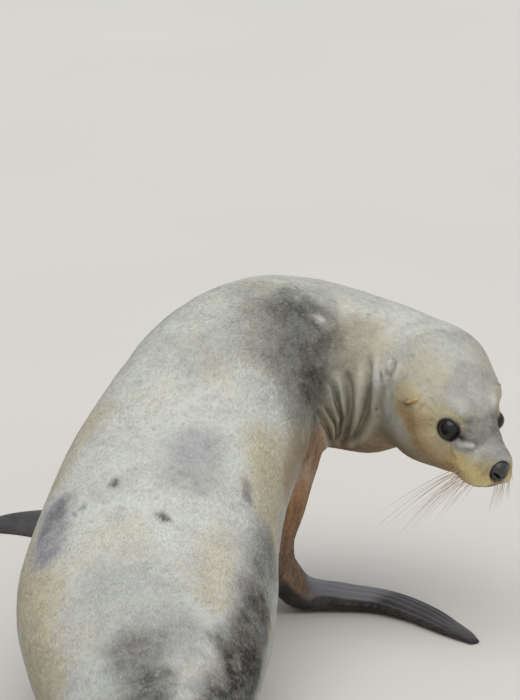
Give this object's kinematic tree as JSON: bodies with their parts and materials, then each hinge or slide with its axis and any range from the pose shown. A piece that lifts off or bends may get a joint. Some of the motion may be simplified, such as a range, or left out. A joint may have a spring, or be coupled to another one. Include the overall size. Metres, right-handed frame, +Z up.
{
  "type": "sea lion",
  "caption": "Life-size still model of a female South American sea lion resting on its belly and fore flippers, its neck bent back to look over its right shoulder.",
  "frame": {"origin": "on the floor, under the middle of the animal's bounding box", "axes": "+X the way the chest faces, +Y the animal's left, +Z up"},
  "size_m": [1.6324, 1.1894, 0.6236],
  "materials": {
    "coat": "short, flat-lying fur, pale grey with darker blotches and tan on face and forelimbs",
    "bare_skin": "bare dark leathery skin of flippers and nose, satin",
    "eye": "wet, glossy, near black",
    "claw": "dark horn, semi-gloss"
  },
  "bodies": {
    "root": {"tail": "coat", "hips": "coat", "belly": "coat", "ribs": "coat", "chest": "coat", "neck_base": "coat", "neck_top": "coat", "head": "coat", "muzzle": "coat", "ear_R": "coat", "ear_L": "coat", "foreleg_R": "coat", "foreleg_L": "coat", "hind_leg_R": "coat", "hind_leg_L": "coat", "nose": "bare_skin", "fore_flipper_R": "bare_skin", "fore_flipper_L": "bare_skin", "hind_flipper_R": "bare_skin", "hind_flipper_L": "bare_skin", "eye_R": "eye", "eye_L": "eye", "claw_R2": "claw", "claw_R3": "claw", "claw_R4": "claw", "claw_L2": "claw", "claw_L3": "claw", "claw_L4": "claw"}
  },
  "joints": []
}
